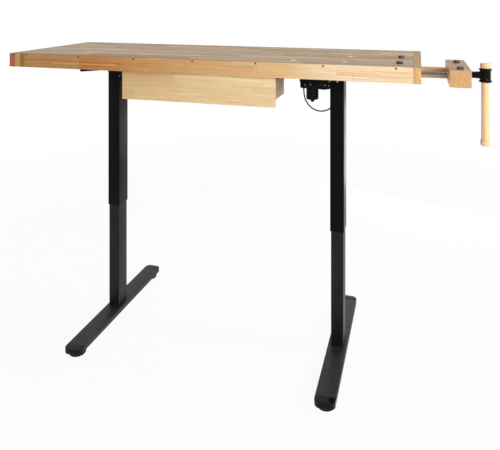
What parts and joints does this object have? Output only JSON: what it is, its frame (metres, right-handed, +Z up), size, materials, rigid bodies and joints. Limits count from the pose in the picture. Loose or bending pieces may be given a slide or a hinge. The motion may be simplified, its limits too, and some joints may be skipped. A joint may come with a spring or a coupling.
{
  "type": "woodworking bench",
  "caption": "Woodworking bench with an edge-glued hardwood top, a wooden tail vise, bench dogs and a shallow drawer, on an electric height-adjustable two-column steel frame.",
  "frame": {"origin": "middle of the object's footprint, on the floor", "axes": "+X along the bench to the tail vise, +Y from the front to the back, +Z up"},
  "size_m": [1.7646, 0.66, 1.127],
  "materials": {
    "top_wood": "oiled, brushed",
    "rail_wood": "oiled",
    "drawer_wood": "oiled",
    "jaw_wood": "oiled",
    "handle_wood": "turned, oiled",
    "plug_wood": "dark stained",
    "frame_black": "semi-gloss powder coat",
    "cast_black": "black enamel",
    "bright_steel": "bright",
    "dog_grey": "satin dark grey",
    "black_plastic": "fine grain",
    "glossy_plastic": "glossy",
    "cable_black": "smooth sheath"
  },
  "bodies": {
    "left_base": {"left_foot": "frame_black", "left_foot_caps": "glossy_plastic", "left_inner_tube": "frame_black", "left_spindle_nut": "bright_steel"},
    "bench": {"front_rail": "rail_wood", "rear_rail": "rail_wood", "left_end_cap": "rail_wood", "right_end_cap": "rail_wood", "front_board": "top_wood", "middle_board": "top_wood", "back_board": "top_wood", "rail_plugs": "plug_wood", "left_spacer": "rail_wood", "right_spacer": "rail_wood", "left_arm": "frame_black", "right_arm": "frame_black", "crossbars": "frame_black", "left_head_bracket": "frame_black", "right_head_bracket": "frame_black", "left_outer_tube": "frame_black", "right_outer_tube": "frame_black", "left_gear_housing": "black_plastic", "right_gear_housing": "black_plastic", "housing_screws": "bright_steel", "bracket_bolts": "bright_steel", "left_motor": "black_plastic", "right_motor": "black_plastic", "column_glides": "black_plastic", "control_box": "black_plastic", "motor_cable": "cable_black", "cable_gland": "black_plastic", "left_drawer_runner": "rail_wood", "right_drawer_runner": "rail_wood", "vise_nut": "bright_steel", "beam_keeper": "frame_black"},
    "right_base": {"right_foot": "frame_black", "right_foot_caps": "glossy_plastic", "right_inner_tube": "frame_black", "right_spindle_nut": "bright_steel"},
    "left_lift_screw": {"left_spindle": "bright_steel"},
    "right_lift_screw": {"right_spindle": "bright_steel"},
    "drawer": {"drawer_front": "drawer_wood", "drawer_left_side": "rail_wood", "drawer_right_side": "rail_wood", "drawer_back": "rail_wood", "drawer_bottom": "rail_wood"},
    "jaw": {"jaw_block": "jaw_wood", "guide_beam": "jaw_wood"},
    "screw": {"vise_screw": "bright_steel", "screw_hub": "cast_black"},
    "handle": {"handle_rod": "handle_wood", "handle_end_knob": "handle_wood"},
    "bench_dog_front_body": {"bench_dog_front": "dog_grey"},
    "bench_dog_rear_body": {"bench_dog_rear": "dog_grey"},
    "jaw_dog_front_body": {"jaw_dog_front": "dog_grey"},
    "jaw_dog_rear_body": {"jaw_dog_rear": "dog_grey"},
    "left_front_pad_body": {"left_front_pad": "black_plastic"},
    "left_back_pad_body": {"left_back_pad": "black_plastic"},
    "right_front_pad_body": {"right_front_pad": "black_plastic"},
    "right_back_pad_body": {"right_back_pad": "black_plastic"}
  },
  "joints": [
    {"name": "lift", "type": "slide", "parent": "left_base", "child": "bench", "axis": [0, 0, 1], "range_m": [-0.4, 0.05]},
    {"name": "right_column", "type": "slide", "parent": "bench", "child": "right_base", "axis": [0, 0, -1], "range_m": [-0.4, 0.05]},
    {"name": "left_screw_turn", "type": "hinge", "parent": "bench", "child": "left_lift_screw", "pos_m": [-0.58225, 0, 0.918], "axis": [0, 0, 1], "range_deg": [-24001, 3001]},
    {"name": "right_screw_turn", "type": "hinge", "parent": "bench", "child": "right_lift_screw", "pos_m": [0.35775, 0, 0.918], "axis": [0, 0, 1], "range_deg": [-24001, 3001]},
    {"name": "drawer_slide", "type": "slide", "parent": "bench", "child": "drawer", "axis": [0, -1, 0], "range_m": [0, 0.1]},
    {"name": "jaw_slide", "type": "slide", "parent": "bench", "child": "jaw", "axis": [1, 0, 0], "range_m": [-0.08501, 0.06601]},
    {"name": "screw_turn", "type": "hinge", "parent": "jaw", "child": "screw", "pos_m": [0.77775, -0.118, 1.078], "axis": [1, 0, 0], "range_deg": [-5100, 3960]},
    {"name": "handle_slide", "type": "slide", "parent": "screw", "child": "handle", "axis": [0, 0, 1], "range_m": [0, 0.189]},
    {"name": "bench_dog_front_lift", "type": "slide", "parent": "bench", "child": "bench_dog_front_body", "axis": [0, 0, 1], "range_m": [0, 0.03]},
    {"name": "bench_dog_rear_lift", "type": "slide", "parent": "bench", "child": "bench_dog_rear_body", "axis": [0, 0, 1], "range_m": [0, 0.03]},
    {"name": "jaw_dog_front_lift", "type": "slide", "parent": "jaw", "child": "jaw_dog_front_body", "axis": [0, 0, 1], "range_m": [0, 0.03]},
    {"name": "jaw_dog_rear_lift", "type": "slide", "parent": "jaw", "child": "jaw_dog_rear_body", "axis": [0, 0, 1], "range_m": [0, 0.03]},
    {"name": "left_front_pad_screw", "type": "slide", "parent": "left_base", "child": "left_front_pad_body", "axis": [0, 0, -1], "range_m": [0, 0.012]},
    {"name": "left_back_pad_screw", "type": "slide", "parent": "left_base", "child": "left_back_pad_body", "axis": [0, 0, -1], "range_m": [0, 0.012]},
    {"name": "right_front_pad_screw", "type": "slide", "parent": "right_base", "child": "right_front_pad_body", "axis": [0, 0, -1], "range_m": [0, 0.012]},
    {"name": "right_back_pad_screw", "type": "slide", "parent": "right_base", "child": "right_back_pad_body", "axis": [0, 0, -1], "range_m": [0, 0.012]}
  ],
  "couplings": [
    {"joint": "right_column", "follows": "lift", "ratio": 1},
    {"joint": "left_screw_turn", "follows": "lift", "rad_per_m": 1047.2},
    {"joint": "right_screw_turn", "follows": "lift", "rad_per_m": 1047.2},
    {"joint": "jaw_slide", "follows": "screw_turn", "m_per_rad": 0.00095493}
  ]
}
